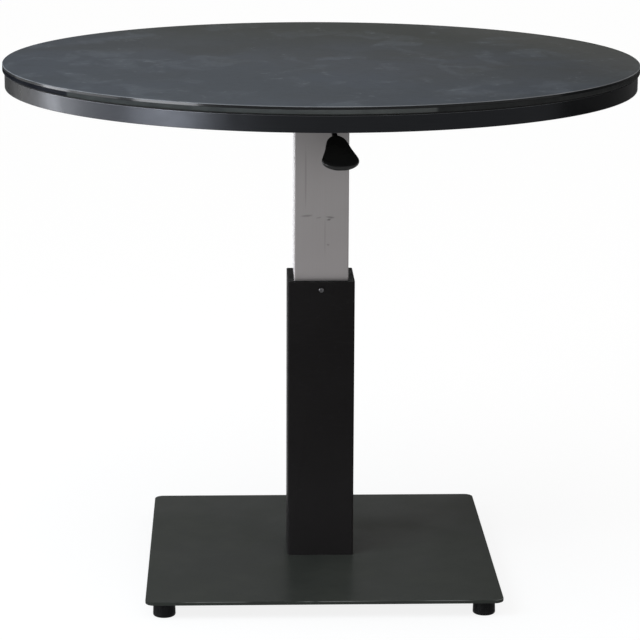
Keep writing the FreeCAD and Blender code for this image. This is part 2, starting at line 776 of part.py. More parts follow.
# ---- write every piece ----
def main():
    os.makedirs("parts", exist_ok=True)

    save("base_plate", base_plate())
    save("outer_tube", outer_tube())
    save("column_foot_plate", column_foot_plate())
    save("column_bolts", column_bolts())
    save("column_washers", column_washers())
    save("spring_bolt", spring_bolt())

    nuts = []
    for number, (x, y) in enumerate(four_corners(foot_place), start=1):
        place = FreeCAD.Vector(x, y, 0)
        nuts.append(foot_nut().translated(place))
        save("foot_pad_%d" % number, foot_pad().translated(place))
        save("foot_stud_%d" % number, foot_stud().translated(place))
    save("foot_nuts", Part.makeCompound(nuts))

    save("guide_collar", guide_collar())
    save("collar_screws", collar_screws())
    save("lower_glide", lower_glide())
    save("glide_rivets", Part.makeCompound(four_sides(glide_rivet())))

    save("inner_tube", inner_tube())
    save("head_spigot", head_spigot())
    save("spigot_screws", spigot_screws())
    save("head_plate", head_plate())
    save("head_plate_screws", head_plate_screws())
    save("board_inserts", board_inserts())

    save("board", board())
    save("edge_band", edge_band())
    save("silicone_pads", silicone_pads())
    save("silicone_bead", silicone_bead())
    save("glass", glass())
    save("ceramic_top", ceramic_top())

    save("gas_spring_cylinder", gas_spring_cylinder())
    save("gas_spring_gland", gas_spring_gland())
    save("gas_spring_piston", gas_spring_piston())
    save("gas_spring_rod", gas_spring_rod())
    save("rod_nut", rod_nut())
    save("release_pin", release_pin())

    save("lever_bracket", lever_bracket())
    save("lever_pin", lever_pin())
    save("lever_clip", lever_clip())
    save("lever_arm", lever_arm())
    save("lever_paddle", lever_paddle())


main()
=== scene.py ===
# %% [markdown]
# # A round lift table on a telescoping column
#
# The table top is a thin slate-look ceramic sheet on glass, carried by a banded board. A silver
# tube slides in a black one, and a paddle under the top frees the gas spring inside them. The
# metal, the screws and everything that moves come from the CAD model. This script gives them
# their finishes, and makes again in Blender what a hand or an eye meets from close by.

# %% Load the CAD model
import json
import math

import bmesh
import bpy
from mathutils import Matrix, Vector


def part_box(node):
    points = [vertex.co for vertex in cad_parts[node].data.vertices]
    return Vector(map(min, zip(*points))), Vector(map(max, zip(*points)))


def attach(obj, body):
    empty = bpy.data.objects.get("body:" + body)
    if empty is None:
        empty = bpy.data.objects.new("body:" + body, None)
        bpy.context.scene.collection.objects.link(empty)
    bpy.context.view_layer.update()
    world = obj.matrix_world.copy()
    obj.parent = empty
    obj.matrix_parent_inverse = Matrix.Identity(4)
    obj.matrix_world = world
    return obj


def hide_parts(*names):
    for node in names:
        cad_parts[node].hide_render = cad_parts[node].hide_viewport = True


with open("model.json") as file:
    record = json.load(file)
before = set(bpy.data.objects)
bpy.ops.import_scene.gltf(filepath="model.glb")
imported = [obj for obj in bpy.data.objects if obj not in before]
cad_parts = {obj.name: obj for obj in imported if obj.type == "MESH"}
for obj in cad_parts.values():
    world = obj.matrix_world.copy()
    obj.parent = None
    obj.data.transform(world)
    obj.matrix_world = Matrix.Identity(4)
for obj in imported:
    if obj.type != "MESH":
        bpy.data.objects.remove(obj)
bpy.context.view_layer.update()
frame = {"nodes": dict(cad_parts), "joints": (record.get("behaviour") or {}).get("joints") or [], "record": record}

# %% [markdown]
# ## The camera
#
# A long lens from a few metres away shows a product with little distortion. The camera stands a
# little above the top, looks down on it and is turned two degrees to the table, so that one side
# of the column just stays hidden. It is placed by its turn, distance and height, because those
# are the numbers that are changed on a tripod.

# %% Place the camera
CAMERA_TURN = math.radians(-2.0)
CAMERA_DISTANCE = 3.622
CAMERA_SIDESTEP = -0.0002
CAMERA_HEIGHT = 1.228
CAMERA_PITCH = math.radians(13.333)
CAMERA_ROLL = math.radians(0.25)
CAMERA_LENS = 144.05
SENSOR_WIDTH = 36.0

camera_data = bpy.data.cameras.new("camera")
camera_data.lens = CAMERA_LENS
camera_data.sensor_width = SENSOR_WIDTH
camera = bpy.data.objects.new("camera", camera_data)
turn = Matrix.Rotation(CAMERA_TURN, 4, "Z")
place = turn @ Matrix.Translation((CAMERA_SIDESTEP, -CAMERA_DISTANCE, CAMERA_HEIGHT))
tilt = Matrix.Rotation(math.radians(90) - CAMERA_PITCH, 4, "X")
camera.matrix_world = place @ tilt @ Matrix.Rotation(CAMERA_ROLL, 4, "Z")
bpy.context.scene.collection.objects.link(camera)
bpy.context.scene.camera = camera
bpy.context.scene.view_settings.view_transform = "Standard"
print("camera:", [round(value, 3) for value in camera.location], "lens:", CAMERA_LENS)

# %% [markdown]
# ## Small helpers for shader nodes
#
# A node tree is easier to read when each node is one call: its kind, its settings, and what goes
# into its sockets. A socket of another node is linked, and a plain number or colour is set.

# %% A helper that adds one shader node
def node(tree, kind, inputs=None, **settings):
    made = tree.nodes.new("ShaderNode" + kind)
    for name, value in settings.items():
        setattr(made, name, value)
    for name, value in (inputs or {}).items():
        if isinstance(value, bpy.types.NodeSocket):
            tree.links.new(value, made.inputs[name])
        else:
            made.inputs[name].default_value = value
    return made


def tone(red, green, blue):
    """A colour written as a screen shows it, from 0 to 255, as Blender's linear colour."""
    steps = [value / 255 for value in (red, green, blue)]
    linear = [step / 12.92 if step <= 0.04045 else ((step + 0.055) / 1.055) ** 2.4 for step in steps]
    return (*linear, 1.0)


print("tone(128, 128, 128):", [round(value, 3) for value in tone(128, 128, 128)])

# %% [markdown]
# ## The studio
#
# The floor is pale and endless. It is a real surface that takes the table's shadow, and it adds
# a plain white of its own where the camera, a gloss or a clear surface looks at it, so that the
# background is white without more light on the table. From below it lets the view through.

# %% Make the floor and the white surroundings
FLOOR_SIZE = 120.0
FLOOR_COLOUR = (0.8, 0.8, 0.8, 1.0)
FLOOR_OWN_WHITE = 0.78
FLOOR_WHITE_STRENGTH = 1.1


def seen_directly(tree):
    """1 for rays from the camera, a gloss or a clear surface, 0 for rays that gather light."""
    path = node(tree, "LightPath")
    camera_or_gloss = {0: path.outputs["Is Camera Ray"], 1: path.outputs["Is Glossy Ray"]}
    first = node(tree, "Math", camera_or_gloss, operation="MAXIMUM").outputs[0]
    or_clear = {0: first, 1: path.outputs["Is Transmission Ray"]}
    return node(tree, "Math", or_clear, operation="MAXIMUM").outputs[0]


floor_mesh = bmesh.new()
bmesh.ops.create_grid(floor_mesh, x_segments=1, y_segments=1, size=FLOOR_SIZE / 2)
floor_data = bpy.data.meshes.new("floor")
floor_mesh.to_mesh(floor_data)
floor_mesh.free()
floor = bpy.data.objects.new("floor", floor_data)
bpy.context.scene.collection.objects.link(floor)

floor_material = bpy.data.materials.new("studio_floor")
floor_material.use_nodes = True
tree = floor_material.node_tree
tree.nodes.clear()
lit = node(tree, "BsdfDiffuse", {"Color": FLOOR_COLOUR})
white = node(tree, "Emission", {"Strength": FLOOR_WHITE_STRENGTH})
share = node(tree, "Math", {0: seen_directly(tree), 1: FLOOR_OWN_WHITE}, operation="MULTIPLY")
surface = node(tree, "MixShader", {0: share.outputs[0], 1: lit.outputs[0], 2: white.outputs[0]})
below = node(tree, "NewGeometry").outputs["Backfacing"]
clear = node(tree, "BsdfTransparent")
one_sided = node(tree, "MixShader", {0: below, 1: surface.outputs[0], 2: clear.outputs[0]})
node(tree, "OutputMaterial", {"Surface": one_sided.outputs[0]})
floor_data.materials.append(floor_material)
print("floor:", FLOOR_SIZE, "m across, with", FLOOR_OWN_WHITE, "of its white its own")

# %% Give the world its soft light
SOFT_LIGHT = 0.42

world = bpy.data.worlds.new("studio")
world.use_nodes = True
bpy.context.scene.world = world
tree = world.node_tree
tree.nodes.clear()
soft = node(tree, "Background", {"Color": (1, 1, 1, 1), "Strength": SOFT_LIGHT})
plain = node(tree, "Background", {"Color": (1, 1, 1, 1), "Strength": 1.0})
around = node(tree, "MixShader", {0: seen_directly(tree), 1: soft.outputs[0], 2: plain.outputs[0]})
node(tree, "OutputWorld", {"Surface": around.outputs[0]})
print("soft light from all around:", SOFT_LIGHT)

# %% [markdown]
# ## The lamps
#
# One wide, high light stands for a soft ceiling. A window-like panel in front and to the left is
# cooler, so the top is lighter and bluer on that side. Three tall softboxes on the left draw the
# upright highlights on the band, and a low one behind the table lights the band's left end. They
# stand low, because a band that is seen from above mirrors what is below the level of the top.
# Only glosses see them: a softbox strong enough to show in dark metal would light the table's
# left too much.

# %% Hang the lamps
SKY_STRENGTH = 1.05
SKY_SPREAD = math.radians(70)
SKY_TILT = math.radians(12)
SKY_HEIGHT = 4.0
SKY_COLOUR = (1.0, 0.985, 0.955)
WINDOW_COLOUR = (0.79, 0.90, 1.0)
STRIP_COLOUR = (0.93, 0.95, 1.0)


def panel_lamp(name, place, target, width, height, radiance, colour, gloss_only):
    """A flat lamp that faces its target, with its power worked out from how bright its face is."""
    data = bpy.data.lights.new(name, "AREA")
    data.shape = "RECTANGLE"
    data.size = width
    data.size_y = height
    data.energy = radiance * math.pi * width * height
    data.color = colour
    lamp = bpy.data.objects.new(name, data)
    facing = (Vector(target) - Vector(place)).to_track_quat("-Z", "Y")
    lamp.matrix_world = Matrix.Translation(place) @ facing.to_matrix().to_4x4()
    lamp.visible_camera = False
    lamp.visible_diffuse = not gloss_only
    lamp.visible_glossy = gloss_only
    bpy.context.scene.collection.objects.link(lamp)
    print(name, "power:", round(data.energy, 1), "W")
    return lamp


sky_data = bpy.data.lights.new("sky", "SUN")
sky_data.energy = SKY_STRENGTH
sky_data.angle = SKY_SPREAD
sky_data.color = SKY_COLOUR
sky = bpy.data.objects.new("sky", sky_data)
sky.matrix_world = Matrix.Translation((0, 0, SKY_HEIGHT)) @ Matrix.Rotation(SKY_TILT, 4, "X")
bpy.context.scene.collection.objects.link(sky)

# Each: its place and target, width and height in metres, radiance, colour, and if only glosses see it.
panel_lamp("window", (-1.4, -1.1, 1.55), (0, 0, 0.6), 1.2, 1.2, 5.5, WINDOW_COLOUR, False)
panel_lamp("strip_back", (-2.5, 0.50, 0.82), (0, 0, 0.6), 0.70, 1.5, 13.0, STRIP_COLOUR, True)
panel_lamp("strip_middle", (-2.5, -0.40, 0.82), (0, 0, 0.6), 0.90, 1.5, 5.5, STRIP_COLOUR, True)
panel_lamp("strip_low", (-1.25, 1.6, 0.18), (0, 0, 0.5), 1.0, 0.3, 1.6, STRIP_COLOUR, True)
panel_lamp("strip_front", (-2.05, -1.55, 0.82), (0, 0, 0.6), 1.05, 1.5, 21.0, STRIP_COLOUR, True)

# %% [markdown]
# ## Black flags
#
# In front of an all-white background the ends of a metal band go white, because a surface that
# turns away from the eye mirrors everything. In a studio, black flags stand just out of view
# behind the table, and the ends turn dark. The middle one is a narrow strip hung high, so that the
# back of the top mirrors it and the base plate doesn't. Here they are plain panels that only
# glosses see: the camera looks past them and no light is blocked.

# %% Stand the flags
FLAG_GREY = 0.1
# Each: the places of its two ends on the floor plan, its hem and its top, in metres.
FLAG_PLACES = {
    "flag_back_left": ((-0.75, 2.2), (-1.85, 1.65), 0.0, 2.4),
    "flag_back_middle": ((-0.75, 2.2), (0.5, 2.2), 0.95, 1.25),
    "flag_back_right": ((0.5, 2.2), (2.3, 1.2), 0.0, 2.4),
    "flag_right": ((2.3, 1.2), (2.45, -0.3), 0.0, 1.6),
}

flag_material = bpy.data.materials.new("flag_cloth")
flag_material.use_nodes = True
tree = flag_material.node_tree
tree.nodes.clear()
cloth = node(tree, "Emission", {"Color": (FLAG_GREY, FLAG_GREY, FLAG_GREY, 1.0), "Strength": 1.0})
node(tree, "OutputMaterial", {"Surface": cloth.outputs[0]})

for name, (near, far, hem_height, top_height) in FLAG_PLACES.items():
    mesh = bmesh.new()
    ends = [mesh.verts.new((*near, hem_height)), mesh.verts.new((*far, hem_height))]
    hem = mesh.edges.new(ends)
    raised = bmesh.ops.extrude_edge_only(mesh, edges=[hem])["geom"]
    upper_ends = [item for item in raised if isinstance(item, bmesh.types.BMVert)]
    bmesh.ops.translate(mesh, vec=(0, 0, top_height - hem_height), verts=upper_ends)
    data = bpy.data.meshes.new(name)
    mesh.to_mesh(data)
    mesh.free()
    data.materials.append(flag_material)
    flag = bpy.data.objects.new(name, data)
    bpy.context.scene.collection.objects.link(flag)
    flag.visible_camera = False
    flag.visible_diffuse = False
    flag.visible_transmission = False
    flag.visible_shadow = False
print("flags:", list(FLAG_PLACES))

# %% [markdown]
# ## Shared effects
#
# Several finishes share the same flaws: cloudy tone, a sprayed grain, hairline scratches, worn
# edges and dust. Each is a node group that puts out one value between 0 and 1, so that a material
# decides what it does with it. Sizes are in metres on the object.

# %% A helper that starts a node group
def effect(name, numbers, output):
    """A group with a Vector input, the named number inputs, and one value output."""
    group = bpy.data.node_groups.new(name, "ShaderNodeTree")
    group.interface.new_socket("Vector", in_out="INPUT", socket_type="NodeSocketVector")
    for label, value in numbers.items():
        socket = group.interface.new_socket(label, in_out="INPUT", socket_type="NodeSocketFloat")
        socket.default_value = value
    group.interface.new_socket(output, in_out="OUTPUT", socket_type="NodeSocketFloat")
    enter = group.nodes.new("NodeGroupInput")
    leave = group.nodes.new("NodeGroupOutput")
    return group, enter, leave


def by_size(group, enter):
    """The Vector input divided by the Size input, so that a pattern of period 1 gets that size."""
    frequency = node(group, "Math", {0: 1.0, 1: enter.outputs["Size"]}, operation="DIVIDE")
    scaled = {0: enter.outputs["Vector"], "Scale": frequency.outputs[0]}
    return node(group, "VectorMath", scaled, operation="SCALE").outputs[0]


def spread(tree, value, low, high, to_low=0.0, to_high=1.0, smooth=True):
    """Stretches the range from low to high over another range, and holds it there."""
    kind = "SMOOTHSTEP" if smooth else "LINEAR"
    stretch = {"Value": value, "From Min": low, "From Max": high, "To Min": to_low, "To Max": to_high}
    return node(tree, "MapRange", stretch, interpolation_type=kind).outputs["Result"]


def times(tree, first, second):
    return node(tree, "Math", {0: first, 1: second}, operation="MULTIPLY").outputs[0]


# %% Cloudy tone and sprayed grain
clouds, enter, leave = effect("clouds", {"Size": 0.1, "Detail": 5.0}, "Cloud")
billows = {
    "Vector": by_size(clouds, enter),
    "Scale": 1.0,
    "Detail": enter.outputs["Detail"],
    "Distortion": 0.5,
}
noise = node(clouds, "TexNoise", billows)
clouds.links.new(spread(clouds, noise.outputs["Fac"], 0.3, 0.7), leave.inputs["Cloud"])

grain, enter, leave = effect("sprayed grain", {"Size": 0.001}, "Height")
beads = node(
    grain, "TexVoronoi", {"Vector": by_size(grain, enter), "Scale": 1.0}, feature="SMOOTH_F1"
)
grain.links.new(beads.outputs["Distance"], leave.inputs["Height"])

# %% Hairline scratches
SCRATCH_TURN = (0.4, 0.7, 0.6)
SCRATCH_NARROWING = (1.0, 14.0, 9.0)
SCRATCH_WIDTH = 0.03

scratches, enter, leave = effect("scratches", {"Size": 0.05, "Share": 0.4}, "Scratch")
slanted = {
    "Vector": by_size(scratches, enter),
    "Rotation": SCRATCH_TURN,
    "Scale": SCRATCH_NARROWING,
}
turned = node(scratches, "Mapping", slanted)
cells = node(
    scratches, "TexVoronoi", {"Vector": turned.outputs[0], "Scale": 1.0}, feature="DISTANCE_TO_EDGE"
)
lines = spread(scratches, cells.outputs["Distance"], 0.0, SCRATCH_WIDTH, 1.0, 0.0)
patches = node(scratches, "TexNoise", {"Vector": by_size(scratches, enter), "Scale": 0.9})
least = node(scratches, "Math", {0: 0.8, 1: enter.outputs["Share"]}, operation="SUBTRACT")
compared = {0: patches.outputs["Fac"], 1: least.outputs[0]}
where = node(scratches, "Math", compared, operation="GREATER_THAN")
scratches.links.new(times(scratches, lines, where.outputs[0]), leave.inputs["Scratch"])

# %% Worn edges and settled dust
wear, enter, leave = effect("edge wear", {"Radius": 0.0012, "Size": 0.02}, "Wear")
rounded = node(wear, "Bevel", {"Radius": enter.outputs["Radius"]}, samples=4)
real = node(wear, "NewGeometry")
likeness = node(
    wear, "VectorMath", {0: rounded.outputs[0], 1: real.outputs["Normal"]}, operation="DOT_PRODUCT"
)
edges = spread(wear, likeness.outputs["Value"], 0.995, 0.85)
rub = node(wear, "TexNoise", {"Vector": by_size(wear, enter), "Scale": 1.0, "Detail": 4.0})
wear.links.new(
    times(wear, edges, spread(wear, rub.outputs["Fac"], 0.42, 0.62)), leave.inputs["Wear"]
)

dust, enter, leave = effect("settled dust", {"Size": 0.06}, "Dust")
real = node(dust, "NewGeometry")
upright = node(dust, "SeparateXYZ", {0: real.outputs["Normal"]})
level = spread(dust, upright.outputs["Z"], 0.35, 1.0)
drift = node(dust, "TexNoise", {"Vector": by_size(dust, enter), "Scale": 1.0, "Detail": 6.0})
patchy = spread(dust, drift.outputs["Fac"], 0.35, 0.75)
dust.links.new(times(dust, level, patchy), leave.inputs["Dust"])
print("effects:", [group.name for group in bpy.data.node_groups])

# %% [markdown]
# ## Helpers for materials
#
# Each material is a Principled shader. What is the same all over is set on the shader itself, and
# only what changes over the surface is linked to it.

# %% Start a material, place an effect, mix a colour, add a bump
def finish(name, **plain):
    """A material, its node tree and its shader, with plain values set on the shader's sockets."""
    material = bpy.data.materials.new(name)
    material.use_nodes = True
    shader = material.node_tree.nodes["Principled BSDF"]
    for label, value in plain.items():
        shader.inputs[label.replace("_", " ")].default_value = value
    return material, material.node_tree, shader


def place_on(tree, scale=(1.0, 1.0, 1.0), shift=(0.0, 0.0, 0.0)):
    """Coordinates on the object in metres, drawn out and shifted by a Mapping node."""
    where = node(tree, "TexCoord").outputs["Object"]
    return node(tree, "Mapping", {"Vector": where, "Scale": scale, "Location": shift}).outputs[0]


def facing_up(tree, low, high):
    """0 where the surface is upright, 1 where it looks up, with the change between two slopes."""
    real = node(tree, "NewGeometry").outputs["Normal"]
    return spread(tree, node(tree, "SeparateXYZ", {0: real}).outputs["Z"], low, high)


def apply_effect(tree, group, vector, **numbers):
    placed = node(tree, "Group", node_tree=group)
    tree.links.new(vector, placed.inputs["Vector"])
    for label, value in numbers.items():
        placed.inputs[label].default_value = value
    return placed.outputs[0]


def blend_colour(tree, amount, first, second):
    made = node(tree, "Mix", data_type="RGBA")
    for socket, value in ((made.inputs[0], amount), (made.inputs[6], first), (made.inputs[7], second)):
        if isinstance(value, bpy.types.NodeSocket):
            tree.links.new(value, socket)
        else:
            socket.default_value = value
    return made.outputs[2]


def set_colour(tree, shader, colour):
    tree.links.new(colour, shader.inputs["Base Color"])


def set_roughness(tree, shader, amount, low, high):
    """Roughness from low to high as the amount goes from 0 to 1."""
    tree.links.new(spread(tree, amount, 0.0, 1.0, low, high, smooth=False), shader.inputs["Roughness"])


def set_bump(tree, shader, *heights):
    """One bump after the other: each is (height from 0 to 1, depth in metres)."""
    normal = None
    for height, depth in heights:
        bump = node(tree, "Bump", {"Height": height, "Strength": 1.0, "Distance": depth})
        if normal is not None:
            tree.links.new(normal, bump.inputs["Normal"])
        normal = bump.outputs[0]
    tree.links.new(normal, shader.inputs["Normal"])


# %% [markdown]
# ## Ceramic with the look of slate
#
# The sheet is a sintered ceramic, printed with soft grey clouds and pressed with a fine stone
# texture. Wide drifts shift the grey a little: it is warmer and darker towards the back and cooler
# towards the front, and painted light makes it paler at the right end. Some areas hold bluish
# clouds with paler wisps in them, and rare flecks keep it from looking airbrushed. The print ends
# at the arris, which is ground and paler, partly as a painted highlight, and the side shows the
# dark body of the sheet.

# %% Slate-look ceramic
TO_THE_BACK = (0.35, 0.94, 0.0)
TO_THE_RIGHT = (0.93, 0.37, 0.0)
TO_THE_FRONT = (-0.45, -0.89, 0.0)
CRUMB_DEPTH = 0.00005
STONE_DEPTH = 0.00003


def distance_towards(tree, place, direction):
    """How far a point lies from the middle in one direction, in metres."""
    dot = node(tree, "VectorMath", {0: place, 1: direction}, operation="DOT_PRODUCT")
    return dot.outputs["Value"]


def slate_ceramic():
    material, tree, shader = finish("slate_ceramic", Specular_IOR_Level=0.03, Coat_Roughness=0.12)
    place = place_on(tree)
    drifts = apply_effect(tree, clouds, place, Size=0.35, Detail=3.0)
    stains = apply_effect(tree, clouds, place_on(tree, shift=(0.7, 0.2, 0.0)), Size=0.24, Detail=3.0)
    banks = apply_effect(tree, clouds, place_on(tree, shift=(0.3, 1.1, 0.0)), Size=0.17, Detail=3.0)
    wisps = apply_effect(tree, clouds, place_on(tree, (1.2, 0.75, 1.0)), Size=0.07, Detail=4.0)
    crumbs = apply_effect(tree, clouds, place, Size=0.012, Detail=5.0)
    base = blend_colour(tree, drifts, tone(58, 61, 64), tone(63, 66, 69))
    base = blend_colour(tree, spread(tree, stains, 0.5, 1.0, 0.0, 0.3), base, tone(58, 58, 55))
    base = blend_colour(tree, spread(tree, banks, 0.4, 1.0, 0.0, 0.5), base, tone(66, 70, 77))
    backwards = distance_towards(tree, place, TO_THE_BACK)
    base = blend_colour(tree, spread(tree, backwards, 0.03, 0.34), base, tone(56, 58, 56))
    # Painted light: the top is paler towards the right end.
    painted_light_rightwards = distance_towards(tree, place, TO_THE_RIGHT)
    base = blend_colour(tree, spread(tree, painted_light_rightwards, 0.26, 0.42, 0.0, 0.6), base, tone(78, 78, 76))
    forwards = distance_towards(tree, place, TO_THE_FRONT)
    base = blend_colour(tree, spread(tree, forwards, 0.02, 0.2, 0.0, 0.5), base, tone(61, 66, 73))
    light = times(tree, spread(tree, wisps, 0.5, 1.0, 0.0, 0.38), spread(tree, banks, 0.1, 0.9))
    light = times(tree, light, spread(tree, backwards, 0.1, 0.36, 1.0, 0.5))
    base = blend_colour(tree, light, base, tone(86, 91, 97))
    flecks = times(tree, spread(tree, crumbs, 0.88, 1.0, 0.0, 0.32), spread(tree, wisps, 0.5, 0.9))
    base = blend_colour(tree, flecks, base, tone(106, 110, 114))
    base = blend_colour(tree, spread(tree, crumbs, 0.4, 0.0, 0.0, 0.16), base, tone(44, 46, 50))
    # The arris's pale tone is partly its ground finish and partly a painted highlight: only its slopes between the
    # side and the top get it.
    ground = blend_colour(tree, wisps, tone(104, 106, 109), tone(126, 128, 131))
    upright = facing_up(tree, 0.4, 0.25)
    edge = blend_colour(tree, upright, ground, tone(12, 13, 15))
    set_colour(tree, shader, blend_colour(tree, facing_up(tree, 0.93, 0.98), edge, base))
    set_roughness(tree, shader, facing_up(tree, 0.3, 0.9), 0.3, 0.6)
    tree.links.new(times(tree, upright, 0.28), shader.inputs["Coat Weight"])
    stone = apply_effect(tree, grain, place, Size=0.0012)
    set_bump(tree, shader, (crumbs, CRUMB_DEPTH), (stone, STONE_DEPTH))
    return material


# %% [markdown]
# ## Glass, band and silicone
#
# The glass under the ceramic is backed in black, and a black sealer is rolled on its ground edge.
# Painted shade makes the edge darkest on the left. Round the front, a painted reflection makes it
# greyer, and paler still towards the right end of that stretch. The band is a strip of dark anodised
# aluminium, brushed along its length before it was bent round the board, so its lines run round
# the table.

# %% The way round the table, and the dark glass
# Angles round the column, in radians: 0 is the front, and they grow to the right.
PAINTED_REFLECTION_FROM = math.radians(-49.5)
PAINTED_REFLECTION_TO = math.radians(17)
PAINTED_REFLECTION_FADE = math.radians(0.4)
LEFT_SHADE_FROM, LEFT_SHADE_FULL = -0.5, -0.6
PALER_REFLECTION_FROM, PALER_REFLECTION_FULL = -0.6, 0.3


def angle_round(tree):
    """The angle round the column in radians: 0 at the front, growing to the right."""
    part = node(tree, "SeparateXYZ", {0: node(tree, "TexCoord").outputs["Object"]})
    forwards = times(tree, part.outputs["Y"], -1.0)
    angle = node(tree, "Math", {0: part.outputs["X"], 1: forwards}, operation="ARCTAN2").outputs[0]
    return angle, part.outputs["Z"]


def dark_glass():
    material, tree, shader = finish("dark_glass", IOR=1.52, Specular_IOR_Level=0.004)
    place = place_on(tree)
    ground = apply_effect(tree, clouds, place, Size=0.03, Detail=4.0)
    angle, _ = angle_round(tree)
    # Where a painted reflection lightens the edge round the front.
    starts = spread(tree, angle, PAINTED_REFLECTION_FROM - PAINTED_REFLECTION_FADE, PAINTED_REFLECTION_FROM + PAINTED_REFLECTION_FADE)
    ends = spread(tree, angle, PAINTED_REFLECTION_TO + PAINTED_REFLECTION_FADE, PAINTED_REFLECTION_TO - PAINTED_REFLECTION_FADE)
    sealed = blend_colour(tree, ground, tone(40, 41, 41), tone(46, 47, 47))
    left_shade_tone = blend_colour(tree, ground, tone(14, 16, 22), tone(19, 21, 27))
    # Painted shade: the edge is darker on the left.
    left_shade_share = spread(tree, angle, LEFT_SHADE_FROM, LEFT_SHADE_FULL)
    sealed = blend_colour(tree, left_shade_share, sealed, left_shade_tone)
    # Painted reflection: greyer round the front, paler towards its right end.
    painted_reflection = blend_colour(tree, ground, tone(52, 54, 54), tone(60, 62, 61))
    paler_reflection = blend_colour(tree, ground, tone(70, 72, 71), tone(77, 79, 78))
    reflection_paleness = spread(tree, angle, PALER_REFLECTION_FROM, PALER_REFLECTION_FULL)
    painted_reflection = blend_colour(tree, reflection_paleness, painted_reflection, paler_reflection)
    set_colour(tree, shader, blend_colour(tree, times(tree, starts, ends), sealed, painted_reflection))
    set_roughness(tree, shader, ground, 0.24, 0.34)
    return material


BRUSH_LINES_ROUND = 9.0
BRUSH_LINES_UP = 1500.0
BRUSH_DEPTH = 0.000012


def brushed_band():
    material, tree, shader = finish("brushed_band", Metallic=1.0)
    where = place_on(tree)
    angle, height = angle_round(tree)
    along = times(tree, angle, BRUSH_LINES_ROUND)
    upwards = times(tree, height, BRUSH_LINES_UP)
    unrolled = node(tree, "CombineXYZ", {"X": along, "Y": upwards}).outputs[0]
    brushed = node(tree, "TexNoise", {"Vector": unrolled, "Scale": 1.0, "Detail": 3.0}).outputs["Fac"]
    smears = apply_effect(tree, clouds, where, Size=0.05, Detail=4.0)
    worn = apply_effect(tree, wear, where, Radius=0.0008, Size=0.03)
    base = blend_colour(tree, brushed, tone(28, 29, 31), tone(34, 35, 37))
    # Painted highlight on the arris that looks up, with bare metal where it was filed.
    filed_edge_and_highlight = facing_up(tree, 0.12, 0.35)
    base = blend_colour(tree, filed_edge_and_highlight, base, tone(96, 97, 100))
    set_colour(tree, shader, blend_colour(tree, times(tree, worn, 0.6), base, tone(120, 120, 122)))
    set_roughness(tree, shader, smears, 0.27, 0.36)
    set_bump(tree, shader, (brushed, BRUSH_DEPTH))
    return material


def silicone(name, dark, pale, specular):
    material, tree, shader = finish(name, Roughness=0.55, Specular_IOR_Level=specular)
    haze = apply_effect(tree, clouds, place_on(tree), Size=0.008, Detail=3.0)
    set_colour(tree, shader, blend_colour(tree, haze, dark, pale))
    return material


# %% [markdown]
# ## The powder coats
#
# The outer tube and the base plate are powder coated: a fine sprayed grain, with a little dust on
# what is level. Painted light makes the foot of the column paler and warmer. On the slope of a
# rounded edge, a painted highlight makes the edge paler in places.

# %% Powder coats
PAINTED_LIGHT_FROM_HEIGHT = 0.26
PAINTED_LIGHT_FULL_HEIGHT = 0.03
SPRAYED_DEPTH = 0.00004


def powder_coat(name, dark, pale, roughness, specular, dusty, painted_light_low):
    material, tree, shader = finish(name, Specular_IOR_Level=specular)
    place = place_on(tree)
    uneven = apply_effect(tree, clouds, place, Size=0.12, Detail=4.0)
    settled = times(tree, apply_effect(tree, dust, place, Size=0.05), dusty)
    height = node(tree, "SeparateXYZ", {0: place}).outputs["Z"]
    # Painted light: the lower part is paler and warmer.
    painted_light_low_share = spread(tree, height, PAINTED_LIGHT_FROM_HEIGHT, PAINTED_LIGHT_FULL_HEIGHT, 0.0, painted_light_low)
    rubbed = apply_effect(tree, wear, place, Radius=0.001, Size=0.015)
    marks = times(tree, apply_effect(tree, scratches, place, Size=0.06, Share=0.32), 0.025)
    base = blend_colour(tree, uneven, dark, pale)
    base = blend_colour(tree, painted_light_low_share, base, tone(60, 58, 58))
    dusted = blend_colour(tree, settled, base, tone(112, 110, 104))
    marked = blend_colour(tree, marks, dusted, tone(90, 90, 88))
    # Painted highlight: the slopes of rounded edges are paler in places.
    slope = times(tree, facing_up(tree, 0.3, 0.6), facing_up(tree, 0.995, 0.9))
    painted_edge_highlight = times(tree, times(tree, slope, spread(tree, uneven, 0.2, 0.7)), 0.8)
    marked = blend_colour(tree, painted_edge_highlight, marked, tone(128, 128, 126))
    edges = times(tree, rubbed, 0.35)
    set_colour(tree, shader, blend_colour(tree, edges, marked, tone(120, 120, 118)))
    set_roughness(tree, shader, uneven, roughness - 0.05, roughness + 0.06)
    sprayed = apply_effect(tree, grain, place, Size=0.0009)
    set_bump(tree, shader, (sprayed, SPRAYED_DEPTH))
    return material


# %% [markdown]
# ## The bare silver tube
#
# The inner tube is drawn aluminium, whose lines run along it. Painted shade makes it darker towards
# the head, under the top, and it is a little warmer where it enters the guide. The guide's grease
# and the lever leave a few marks on its front: smears, a dent painted as a patch of shade, and two
# faint upright lines. Noise would put them anywhere, so each is an ellipse at its own place, and
# noise only tatters its rim.

# %% A mark in one place
mark, enter, leave = effect("mark", {"Raggedness": 0.5}, "Mark")
reach = node(mark, "VectorMath", {0: enter.outputs["Vector"]}, operation="LENGTH").outputs["Value"]
tatter = node(mark, "TexNoise", {"Vector": enter.outputs["Vector"], "Scale": 1.3, "Detail": 5.0})
ragged = times(mark, tatter.outputs["Fac"], enter.outputs["Raggedness"])
rim = node(mark, "Math", {0: reach, 1: ragged}, operation="ADD").outputs[0]
mark.links.new(spread(mark, rim, 0.6, 1.1, 1.0, 0.0), leave.inputs["Mark"])


